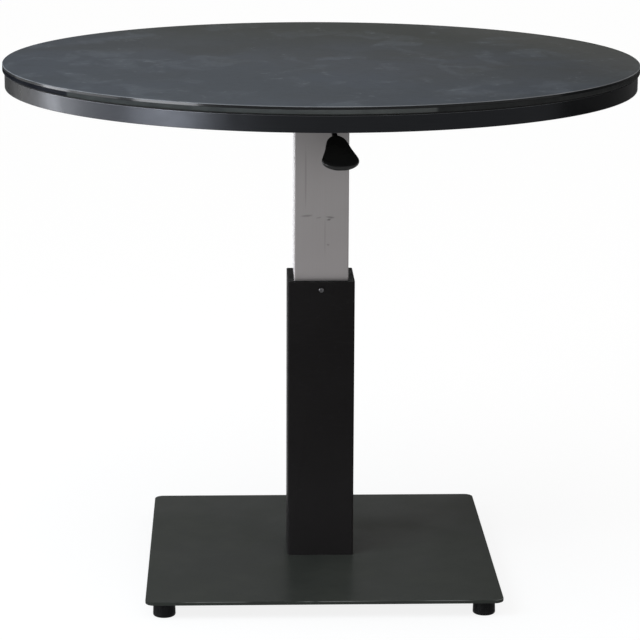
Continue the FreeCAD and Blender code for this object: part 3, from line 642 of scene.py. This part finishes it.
def mark_at(tree, centre, half_size, tilt, raggedness):
    """A mark round one point of the object, in metres, turned in the plane of the front wall."""
    where = node(tree, "TexCoord").outputs["Object"]
    moved = node(tree, "VectorMath", {0: where, 1: centre}, operation="SUBTRACT").outputs[0]
    turned = node(tree, "Mapping", {"Vector": moved, "Rotation": (0.0, math.radians(tilt), 0.0)})
    scaled = node(tree, "VectorMath", {0: turned.outputs[0], 1: half_size}, operation="DIVIDE")
    return apply_effect(tree, mark, scaled.outputs[0], Raggedness=raggedness)


# %% Drawn aluminium
TUBE_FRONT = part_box("inner_tube")[0].y
MARK_DEPTH = 0.004
DRAWN_LINES = (900.0, 900.0, 3.0)
DRAWN_DEPTH = 0.00001
WARMER_FROM_HEIGHT, WARMER_FULL_HEIGHT = 0.53, 0.49
HEAD_SHADE_FROM_HEIGHT, HEAD_SHADE_FULL_HEIGHT = 0.56, 0.70
# Each: what it is, its place across and up and half its size in metres, its turn in degrees, how
# ragged its rim is, and its strength.
TUBE_MARKS = (
    ("smear of grease", (-0.021, 0.5312), (0.0150, 0.0032), 6.0, 0.8, 0.40),
    ("tail of the smear", (-0.004, 0.5285), (0.0080, 0.0024), 14.0, 0.9, 0.30),
    # The dent is only a dark patch of painted shade.
    ("painted shade of a dent from the lever", (0.0125, 0.5290), (0.0110, 0.0030), -4.0, 0.8, 0.50),
    ("rub under the dent", (0.0105, 0.5255), (0.0060, 0.0036), 18.0, 1.0, 0.70),
    ("spot", (0.0095, 0.4890), (0.0040, 0.0036), 0.0, 0.9, 0.32),
    ("line under the dent", (0.0050, 0.5000), (0.0013, 0.0360), 0.0, 0.3, 0.14),
    ("line of the guide", (-0.0227, 0.5860), (0.0017, 0.0580), 0.0, 0.3, 0.22),
)


def drawn_aluminium():
    material, tree, shader = finish("drawn_aluminium", Metallic=0.85)
    lines = {"Vector": place_on(tree, DRAWN_LINES), "Scale": 1.0, "Detail": 3.0}
    drawn = node(tree, "TexNoise", lines).outputs["Fac"]
    smears = apply_effect(tree, clouds, place_on(tree, (1.0, 1.0, 0.6)), Size=0.09, Detail=4.0)
    colour = blend_colour(tree, drawn, tone(134, 131, 131), tone(142, 139, 139))
    colour = blend_colour(tree, times(tree, smears, 0.25), colour, tone(133, 130, 128))
    height = node(tree, "SeparateXYZ", {0: place_on(tree)}).outputs["Z"]
    warmer = spread(tree, height, WARMER_FROM_HEIGHT, WARMER_FULL_HEIGHT, 0.0, 0.5)
    colour = blend_colour(tree, warmer, colour, tone(136, 132, 132))
    # Painted shade: the tube is darker towards its head, under the top.
    painted_shade_near_head = spread(tree, height, HEAD_SHADE_FROM_HEIGHT, HEAD_SHADE_FULL_HEIGHT, 0.0, 0.82)
    colour = blend_colour(tree, painted_shade_near_head, colour, tone(115, 113, 113))
    for _, place, half_size, tilt, raggedness, strength in TUBE_MARKS:
        centre = (place[0], TUBE_FRONT, place[1])
        size = (half_size[0], MARK_DEPTH, half_size[1])
        spot = mark_at(tree, centre, size, tilt, raggedness)
        colour = blend_colour(tree, times(tree, spot, strength), colour, tone(70, 67, 66))
    set_colour(tree, shader, colour)
    set_roughness(tree, shader, smears, 0.43, 0.48)
    set_bump(tree, shader, (drawn, DRAWN_DEPTH))
    return material


print("marks on the tube:", [what for what, *_ in TUBE_MARKS])

# %% [markdown]
# ## Plastics, rods and fasteners
#
# Moulded plastic has a spark-eroded texture and goes shiny where it is held. The small steel
# parts are zinc plated, black oxide or bare, and differ in colour and in how even they are.

# %% Plastics
SPARK_DEPTH = 0.00002


def moulded_plastic(name, dark, pale, roughness, specular):
    material, tree, shader = finish(name, Specular_IOR_Level=specular)
    place = place_on(tree)
    flow = apply_effect(tree, clouds, place, Size=0.03, Detail=4.0)
    rubbed = apply_effect(tree, wear, place, Radius=0.0008, Size=0.01)
    base = blend_colour(tree, flow, dark, pale)
    set_colour(tree, shader, blend_colour(tree, times(tree, rubbed, 0.3), base, tone(70, 70, 70)))
    set_roughness(tree, shader, flow, roughness - 0.06, roughness + 0.06)
    spark = apply_effect(tree, grain, place, Size=0.0006)
    set_bump(tree, shader, (spark, SPARK_DEPTH))
    return material


# %% Steels, brass and board
METAL_DEPTH = 0.00001
LAMINATE_DEPTH = 0.00005


def plain_metal(name, dark, pale, low_roughness, high_roughness, size):
    """Metal whose tone and gloss drift over a pattern of one size."""
    material, tree, shader = finish(name, Metallic=1.0)
    place = place_on(tree)
    drift = apply_effect(tree, clouds, place, Size=size, Detail=5.0)
    marks = times(tree, apply_effect(tree, scratches, place, Size=size * 3, Share=0.35), 0.4)
    base = blend_colour(tree, drift, dark, pale)
    set_colour(tree, shader, blend_colour(tree, marks, base, dark))
    set_roughness(tree, shader, drift, low_roughness, high_roughness)
    set_bump(tree, shader, (drift, METAL_DEPTH))
    return material


def laminated_board():
    material, tree, shader = finish("laminated_board", Specular_IOR_Level=0.25)
    place = place_on(tree)
    paper = apply_effect(tree, clouds, place, Size=0.02, Detail=6.0)
    set_colour(tree, shader, blend_colour(tree, paper, tone(26, 26, 27), tone(34, 34, 35)))
    set_roughness(tree, shader, paper, 0.46, 0.58)
    pressed = apply_effect(tree, grain, place, Size=0.0014)
    set_bump(tree, shader, (pressed, LAMINATE_DEPTH))
    return material


# %% Make every finish, by the record's slot
finishes = {
    "ceramic_slate": slate_ceramic(),
    "glass_dark": dark_glass(),
    "band_metal": brushed_band(),
    "silicone": silicone("clear_silicone", tone(70, 70, 70), tone(84, 84, 82), 0.3),
    "bead_silicone": silicone("black_silicone", tone(42, 42, 42), tone(48, 48, 48), 0.03),
    "base_plate_paint": powder_coat(
        "grey_powder_coat", tone(52, 54, 51), tone(57, 59, 55),
        roughness=0.33, specular=0.0105, dusty=0.04, painted_light_low=0.0,
    ),
    "column_paint": powder_coat(
        "black_powder_coat", tone(25, 23, 23), tone(28, 26, 26),
        roughness=0.5, specular=0.03, dusty=0.06, painted_light_low=0.28,
    ),
    "silver_tube": drawn_aluminium(),
    "black_plastic": moulded_plastic(
        "black_plastic", tone(14, 14, 14), tone(19, 19, 19), roughness=0.5, specular=0.02
    ),
    "foot_plastic": moulded_plastic(
        "foot_plastic", tone(15, 15, 16), tone(21, 21, 22), roughness=0.45, specular=0.06
    ),
    "paddle_plastic": moulded_plastic(
        "paddle_plastic", tone(39, 39, 38), tone(44, 44, 43), roughness=0.3, specular=0.085
    ),
    "board_black": laminated_board(),
    "spring_paint": moulded_plastic(
        "spring_paint", tone(12, 12, 12), tone(17, 17, 17), roughness=0.25, specular=0.5
    ),
}

# Each: the finish, its darkest and palest tone, its least and most roughness, its pattern's size.
METALS = {
    "raw_steel": ("machined_steel", (120, 118, 115), (150, 148, 144), 0.3, 0.45, 0.01),
    "zinc_steel": ("zinc_plate", (150, 150, 146), (180, 178, 170), 0.3, 0.42, 0.006),
    "black_screw": ("black_oxide", (58, 58, 60), (84, 83, 84), 0.3, 0.42, 0.003),
    "lever_steel": ("black_rod", (26, 26, 27), (40, 39, 39), 0.32, 0.45, 0.006),
    "chrome_rod": ("hard_chrome", (196, 196, 198), (208, 208, 210), 0.06, 0.1, 0.02),
    "aluminium_rivet": ("rivet_aluminium", (180, 180, 178), (200, 200, 198), 0.3, 0.4, 0.004),
    "insert_brass": ("insert_brass", (180, 148, 84), (206, 176, 108), 0.3, 0.4, 0.004),
}
for slot_name, (name, dark, pale, low_roughness, high_roughness, size) in METALS.items():
    metal = plain_metal(name, tone(*dark), tone(*pale), low_roughness, high_roughness, size)
    finishes[slot_name] = metal
print("finishes:", len(finishes))

# %% Dress the CAD nodes
for part in frame["record"]["subparts"]:
    dressed = frame["nodes"][part["node"]]
    for holder in dressed.material_slots:
        holder.material = finishes[part["material_slot"]]
    if not dressed.material_slots:
        dressed.data.materials.append(finishes[part["material_slot"]])

# %% [markdown]
# ## Pieces that are made again
#
# A CAD node can be given a finish, but its mesh stays as it is. What is moulded, or has edges that
# a hand has to feel soft, is made again here. Each new piece rides on the body of its node, takes
# the finish of its slot and stands for it, so that the table still moves as the model does.

# %% A helper that lets a mesh stand in for a CAD node
slots = {part["node"]: part["material_slot"] for part in frame["record"]["subparts"]}
body_of = {}
for body, members in frame["record"]["behaviour"]["bodies"].items():
    for member in members:
        body_of[member] = body

SHARP_ANGLE = math.radians(40)


def stand_in(name, mesh, node_name):
    data = bpy.data.meshes.new(name)
    mesh.to_mesh(data)
    mesh.free()
    data.materials.append(finishes[slots[node_name]])
    data.shade_smooth()
    data.set_sharp_from_angle(angle=SHARP_ANGLE)
    piece = bpy.data.objects.new(name, data)
    bpy.context.scene.collection.objects.link(piece)
    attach(piece, body_of[node_name])
    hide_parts(node_name)
    return piece


# %% [markdown]
# ## The release paddle
#
# The paddle is a moulded plastic bell, pushed on the end of the lever: a narrow mouth for the rod,
# quick shoulders, and a broad lip for the fingers. It could be cut from a block, but then its
# crown and its lip would be two surfaces with a seam. Here one ring, squared off a little, is
# extruded from inside the mouth to the tip and gets a new width and thickness at each station.
# A subdivision surface rounds what lies between.

# %% Where the lever points
LEVER_SLOPE = math.radians(32)
LEVER_BEND = 0.028
LEVER_REACH = 0.081

lever_joint = next(joint for joint in frame["joints"] if joint["name"] == "release_lever")
upwards = Vector((0, 0, 1))
across = Vector(lever_joint["axis"]).normalized()
outward = upwards.cross(across)
along = outward * math.cos(LEVER_SLOPE) - upwards * math.sin(LEVER_SLOPE)
paddle_start = Vector(lever_joint["pos_m"]) + outward * LEVER_BEND + along * LEVER_REACH
paddle_place = Matrix((across, along, across.cross(along))).transposed().to_4x4()
paddle_place.translation = paddle_start
print("the paddle starts at", [round(value, 4) for value in paddle_start])

# %% Draw the ring along the paddle
# Each station: distance from the mouth, width, thickness, in millimetres.
PADDLE_STATIONS = (
    (7.0, 8.4, 8.4), (0.8, 8.4, 8.4), (0.0, 8.9, 8.9), (0.0, 10.4, 10.6), (0.5, 11.6, 11.6),
    (1.8, 14.6, 12.2), (3.8, 21.0, 12.8), (6.8, 26.0, 13.4), (10.5, 29.0, 13.9), (16.0, 32.4, 14.6),
    (24.0, 36.0, 15.0), (33.0, 42.6, 14.0), (40.5, 48.8, 12.3), (46.0, 52.8, 11.0), (51.5, 52.2, 9.8),
    (56.5, 45.8, 8.9), (61.0, 33.0, 8.2), (64.0, 15.0, 7.9),
)
RING_CORNERS = 28
SQUARENESS = 0.55
MILLIMETRE = 0.001


def squared(value):
    """Pushes a coordinate of a circle of radius 0.5 outwards, so that the ring has flatter sides."""
    return math.copysign(0.5 * abs(2 * value) ** SQUARENESS, value)


paddle = bmesh.new()
standing = Matrix.Rotation(math.radians(90), 4, "X")
ring = bmesh.ops.create_circle(paddle, segments=RING_CORNERS, radius=0.5, matrix=standing)["verts"]
for vertex in ring:
    vertex.co.x = squared(vertex.co.x)
    vertex.co.z = squared(vertex.co.z)
edges = paddle.edges[:]
bmesh.ops.edgeloop_fill(paddle, edges=edges)
last_distance, last_width, last_thickness = 0.0, 1.0, 1.0
for count, (distance, width, thickness) in enumerate(PADDLE_STATIONS):
    if count > 0:
        drawn = bmesh.ops.extrude_edge_only(paddle, edges=edges)["geom"]
        ring = [item for item in drawn if isinstance(item, bmesh.types.BMVert)]
        edges = [item for item in drawn if isinstance(item, bmesh.types.BMEdge)]
        edges = [edge for edge in edges if all(vertex in ring for vertex in edge.verts)]
    growth = (width / last_width, 1.0, thickness / last_thickness)
    bmesh.ops.scale(paddle, vec=growth, verts=ring)
    bmesh.ops.translate(paddle, vec=(0, distance - last_distance, 0), verts=ring)
    last_distance, last_width, last_thickness = distance, width, thickness
bmesh.ops.edgeloop_fill(paddle, edges=edges)
bmesh.ops.recalc_face_normals(paddle, faces=paddle.faces)
bmesh.ops.scale(paddle, vec=(MILLIMETRE,) * 3, verts=paddle.verts)
bmesh.ops.transform(paddle, matrix=paddle_place, verts=paddle.verts)
release_paddle = stand_in("release_paddle", paddle, "lever_paddle")
rounding = release_paddle.modifiers.new("rounding", "SUBSURF")
rounding.levels = 2
rounding.render_levels = 2
print("paddle faces before rounding:", len(release_paddle.data.polygons))

# %% [markdown]
# ## The levelling feet
#
# A foot is a turned shape, so its outline is drawn once from the middle to the rim and spun round.
# It has a ring that stands on the floor, a pocket for the weld nut and a groove for the flange of
# the stud. Fingers turn it under the plate, so its side has grip flutes: every second face of the
# wall is inset and pushed in.

# %% Spin a foot and flute its side
# Each point: distance from the middle, height, in millimetres.
FOOT_OUTLINE = (
    (0.0, 1.0), (8.5, 1.0), (9.5, 0.0), (16.0, 0.0), (15.72, 4.6), (15.28, 19.4), (15.2, 22.0),
    (8.2, 22.0), (8.2, 11.0), (9.3, 11.0), (9.3, 7.5), (0.0, 7.5),
)
FOOT_FLOOR_EDGE = 3
FOOT_TOP_EDGE = 6
FOOT_FLOOR_ROUNDING = 2.6
FOOT_TOP_ROUNDING = 0.7
FOOT_STEPS = 72
FOOT_JOIN_DISTANCE = 0.0001
WALL_DISTANCE = 14.0
WALL_FACE_AREA = 10.0
FLUTE_BORDER = 0.25
FLUTE_DEPTH = 0.45


def round_corner(mesh, corner, radius, segments):
    bmesh.ops.bevel(
        mesh, geom=[corner], offset=radius, offset_type="OFFSET", segments=segments, profile=0.5,
        affect="VERTICES", material=-1,
    )


def foot_mesh(middle):
    mesh = bmesh.new()
    points = [mesh.verts.new((distance, 0, height)) for distance, height in FOOT_OUTLINE]
    for first, second in zip(points, points[1:]):
        mesh.edges.new((first, second))
    floor_edge, top_edge = points[FOOT_FLOOR_EDGE], points[FOOT_TOP_EDGE]
    round_corner(mesh, floor_edge, FOOT_FLOOR_ROUNDING, 4)
    round_corner(mesh, top_edge, FOOT_TOP_ROUNDING, 2)
    outline = mesh.verts[:] + mesh.edges[:]
    bmesh.ops.spin(
        mesh, geom=outline, cent=(0, 0, 0), axis=(0, 0, 1), angle=math.tau, steps=FOOT_STEPS,
        use_merge=True, use_duplicate=False,
    )
    bmesh.ops.remove_doubles(mesh, verts=mesh.verts, dist=FOOT_JOIN_DISTANCE)
    bmesh.ops.recalc_face_normals(mesh, faces=mesh.faces)
    wall = []
    for face in mesh.faces:
        centre = face.calc_center_median()
        step = round(math.atan2(centre.y, centre.x) / math.tau * FOOT_STEPS - 0.5)
        on_wall = centre.to_2d().length > WALL_DISTANCE and face.calc_area() > WALL_FACE_AREA
        if on_wall and step % 2 == 0:
            wall.append(face)
    bmesh.ops.inset_individual(mesh, faces=wall, thickness=FLUTE_BORDER, depth=-FLUTE_DEPTH)
    bmesh.ops.scale(mesh, vec=(MILLIMETRE,) * 3, verts=mesh.verts)
    bmesh.ops.translate(mesh, vec=middle, verts=mesh.verts)
    return mesh, len(wall)


for number in range(1, 5):
    low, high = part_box(f"foot_pad_{number}")
    middle = ((low.x + high.x) / 2, (low.y + high.y) / 2, low.z)
    mesh, flutes = foot_mesh(middle)
    stand_in(f"foot_{number}_fluted_pad", mesh, f"foot_pad_{number}")
print("flutes on each foot:", flutes)

# %% [markdown]
# ## The ceramic and the glass
#
# Both are cut as discs and then ground round the edge. The ceramic gets a narrow flat arris, so
# that it doesn't chip, and the glass is polished to a rounded edge. A disc could be cut by a
# circle and bevelled, but a section that is drawn from the middle to the edge and spun gives the
# same shape in one step, with exactly the edge that the grinder leaves.

# %% Spin the two discs
SHEET_STEPS = 256
CERAMIC_ARRIS = 0.0008
GLASS_ROUNDING = 0.0009
SHEET_JOIN_DISTANCE = 0.000001


def reach_of(node_name):
    """The radius of a round node that stands on the column's axis."""
    low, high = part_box(node_name)
    return min(-low.x, high.x, -low.y, high.y)


def spun_disc(name, node_name, top_cut, top_segments, bottom_cut, bottom_segments):
    low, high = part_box(node_name)
    radius = reach_of(node_name)
    mesh = bmesh.new()
    outline = ((0, low.z), (radius, low.z), (radius, high.z), (0, high.z))
    points = [mesh.verts.new((distance, 0, height)) for distance, height in outline]
    for first, second in zip(points, points[1:]):
        mesh.edges.new((first, second))
    lower, upper = points[1], points[2]
    if top_cut:
        round_corner(mesh, upper, top_cut, top_segments)
    if bottom_cut:
        round_corner(mesh, lower, bottom_cut, bottom_segments)
    bmesh.ops.spin(
        mesh, geom=mesh.verts[:] + mesh.edges[:], cent=(0, 0, 0), axis=(0, 0, 1), angle=math.tau,
        steps=SHEET_STEPS, use_merge=True, use_duplicate=False,
    )
    bmesh.ops.remove_doubles(mesh, verts=mesh.verts, dist=SHEET_JOIN_DISTANCE)
    bmesh.ops.recalc_face_normals(mesh, faces=mesh.faces)
    print(name, "radius:", round(radius, 4), "faces:", len(mesh.faces))
    return stand_in(name, mesh, node_name)


spun_disc("ceramic_sheet", "ceramic_top", CERAMIC_ARRIS, 1, 0, 0)
spun_disc("glass_sheet", "glass", GLASS_ROUNDING, 3, GLASS_ROUNDING, 3)

# %% [markdown]
# ## The edge band
#
# The band is a strip that was bent round the board until its ends met at the back. Spinning the
# strip's section a little less than a full turn leaves that seam open, and both ends are filled.
# Its edges were broken with a file. The thin pale line on the top arris is partly bare metal where
# the dark skin is gone and partly a painted highlight, since only the arris that looks up gets it.

# %% Bend the band
BAND_STEPS = 256
BAND_THICKNESS = 0.002
BAND_SEAM = 0.0004
BAND_EDGE = 0.0008

low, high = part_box("edge_band")
outside = reach_of("edge_band")
inside = outside - BAND_THICKNESS
seam_angle = BAND_SEAM / outside
strip = bmesh.new()
corners = ((inside, low.z), (outside, low.z), (outside, high.z), (inside, high.z))
section = strip.faces.new([strip.verts.new((distance, 0, height)) for distance, height in corners])
outline = section.edges[:]
strip.faces.remove(section)
first_place = Matrix.Rotation(math.radians(90) + seam_angle / 2, 3, "Z")
bmesh.ops.rotate(strip, cent=(0, 0, 0), matrix=first_place, verts=strip.verts)
bmesh.ops.spin(
    strip, geom=strip.verts[:] + outline, cent=(0, 0, 0), axis=(0, 0, 1),
    angle=math.tau - seam_angle, steps=BAND_STEPS, use_merge=False, use_duplicate=False,
)
bmesh.ops.holes_fill(strip, edges=[edge for edge in strip.edges if edge.is_boundary], sides=4)
bmesh.ops.recalc_face_normals(strip, faces=strip.faces)
print("band faces:", len(strip.faces), "open edges:", sum(edge.is_boundary for edge in strip.edges))
bent_band = stand_in("bent_band", strip, "edge_band")

# %% [markdown]
# ## Softer edges
#
# Sawn and cut edges are broken before a tube or plate is painted, and that thin bright line is
# what makes an edge look real. The node's loose triangles are merged in a copy, flat areas become
# single faces, and a bevel rounds every edge that is still sharp.

# %% Copy a node and break its edges
COPY_JOIN_DISTANCE = 0.000002
FLAT_ANGLE = math.radians(0.2)


def break_edges(piece, width):
    soft = piece.modifiers.new("broken edges", "BEVEL")
    soft.width = width
    soft.segments = 2
    soft.limit_method = "ANGLE"
    soft.angle_limit = SHARP_ANGLE
    soft.harden_normals = True


def softened(name, node_name, width):
    mesh = bmesh.new()
    mesh.from_mesh(frame["nodes"][node_name].data)
    bmesh.ops.remove_doubles(mesh, verts=mesh.verts, dist=COPY_JOIN_DISTANCE)
    bmesh.ops.dissolve_limit(
        mesh, angle_limit=FLAT_ANGLE, verts=mesh.verts, edges=mesh.edges, delimit={"NORMAL"}
    )
    piece = stand_in(name, mesh, node_name)
    break_edges(piece, width)
    print(name, "faces:", len(piece.data.polygons))


softened("outer_tube_soft", "outer_tube", 0.0005)
softened("inner_tube_soft", "inner_tube", 0.0004)
softened("head_plate_soft", "head_plate", 0.0005)
softened("lever_bracket_soft", "lever_bracket", 0.0004)
softened("guide_collar_soft", "guide_collar", 0.0004)
break_edges(bent_band, BAND_EDGE)

# %% [markdown]
# ## Softboxes only where they belong
#
# A flat face mirrors a low softbox like a lake mirrors the sun when it is seen from a low side. In
# a studio, such faces are shaded with card. Light linking does the same here: the flat plates and
# the board are taken off the list of what the softboxes light. The strongest one leaves out the
# silver tube too, whose flat front would go white when it is seen from the right.

# %% Shade the flat faces from the softboxes
FLAT_FACES = ("base_plate", "board", "head_plate_soft")


def shade_from(lamp_names, piece_names):
    """The lamps light everything but these pieces."""
    shaded = bpy.data.collections.new("shaded from " + lamp_names[0])
    for name in piece_names:
        shaded.objects.link(bpy.data.objects[name])
    for member in shaded.collection_objects:
        member.light_linking.link_state = "EXCLUDE"
    for name in lamp_names:
        bpy.data.objects[name].light_linking.receiver_collection = shaded
    print("shaded from", lamp_names, ":", piece_names)


shade_from(("strip_back", "strip_middle", "strip_low"), FLAT_FACES)
shade_from(("strip_front",), (*FLAT_FACES, "inner_tube_soft"))

# %% [markdown]
# ## Two cards for the edge of the tube
#
# The left wall of the silver tube is seen almost edge on, so it mirrors the black flags behind
# the table and its outline goes dark. A small white card, low behind the table, gives that edge
# its line of light back. A larger one on the left draws the highlight on the tube's round corner,
# softer than the softbox that the tube is kept from. Light linking works the other way round
# here: the cards light the silver tube and nothing else.

# %% Light the edge of the silver tube
EDGE_CARDS = (
    panel_lamp("card_behind", (-0.34, 1.6, 0.30), (0, 0, 0.50), 0.5, 0.6, 2.6, STRIP_COLOUR, True),
    panel_lamp("card_left", (-2.05, -1.55, 0.82), (0, 0, 0.6), 0.6, 1.5, 8.0, STRIP_COLOUR, True),
)
lit_by_cards = bpy.data.collections.new("lit by the cards")
lit_by_cards.objects.link(bpy.data.objects["inner_tube_soft"])
for card in EDGE_CARDS:
    card.light_linking.receiver_collection = lit_by_cards
